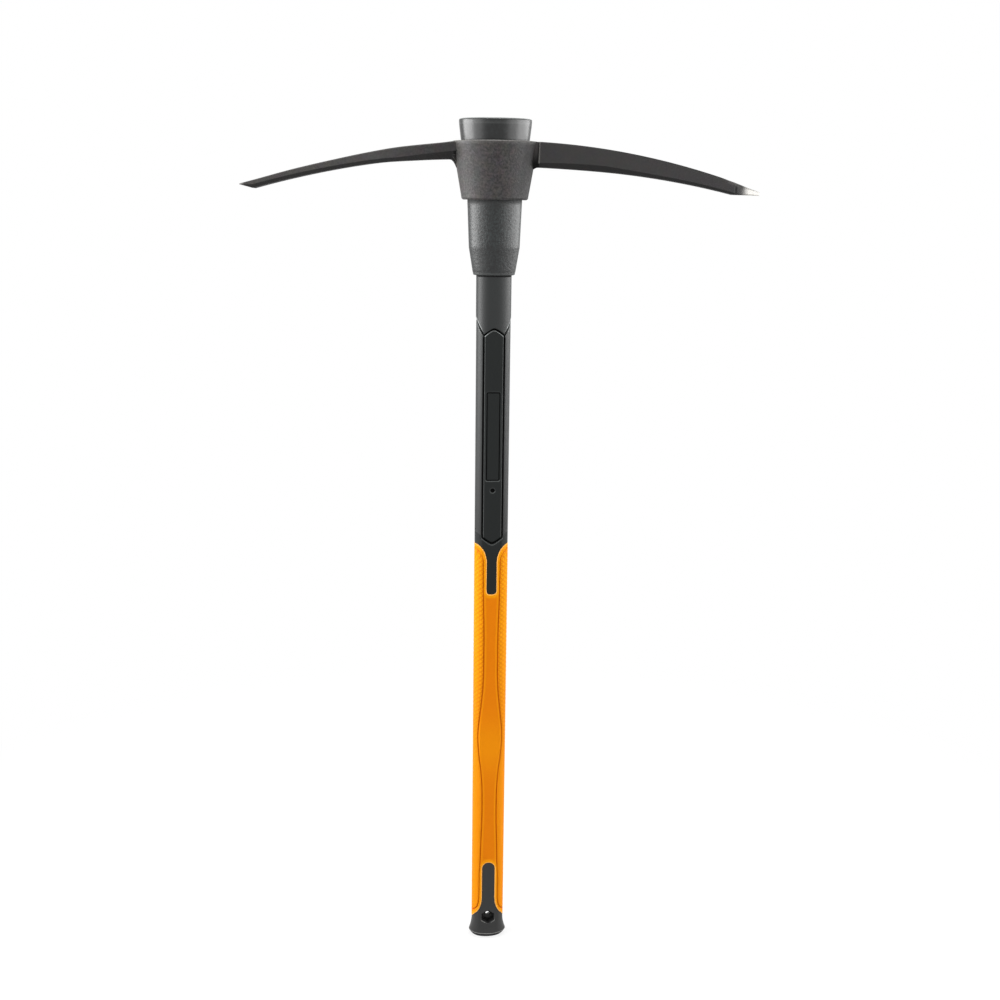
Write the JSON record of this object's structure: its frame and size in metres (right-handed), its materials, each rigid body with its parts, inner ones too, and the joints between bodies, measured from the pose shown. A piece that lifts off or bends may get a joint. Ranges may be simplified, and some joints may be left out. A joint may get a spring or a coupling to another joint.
{
  "type": "pick axe",
  "caption": "Pick axe with a forged steel head, chisel at one end and point at the other, seated by its tapered oval eye on a fibreglass handle with a soft grip and a flared butt.",
  "frame": {"origin": "centre of the flat end face of the butt", "axes": "+Z along the handle towards the head, +X towards the point arm, -Y towards the viewer of the picture"},
  "size_m": [0.5196, 0.0666, 0.9],
  "materials": {
    "forged_steel": "forged and blackened, with ground bright cutting ends",
    "sleeve_plastic": "black moulded nylon, satin",
    "resin": "cured epoxy",
    "fibreglass": "pultruded fibreglass, fibres along its length",
    "jacket_plastic": "black moulded polypropylene, satin",
    "panel_plastic": "black moulded polypropylene, matt",
    "grip_rubber": "orange thermoplastic rubber, textured side pads",
    "cap_plastic": "black moulded polypropylene, satin"
  },
  "bodies": {
    "handle": {"eye_sleeve": "sleeve_plastic", "bond_resin": "resin", "fibreglass_core": "fibreglass", "handle_jacket": "jacket_plastic", "front_panel": "panel_plastic", "back_panel": "panel_plastic", "grip": "grip_rubber", "end_cap": "cap_plastic"},
    "head": {"pick_head": "forged_steel"}
  },
  "joints": [
    {"name": "head_slide", "type": "slide", "parent": "handle", "child": "head", "axis": [0, 0, -1], "range_m": [0, 0.8]}
  ]
}
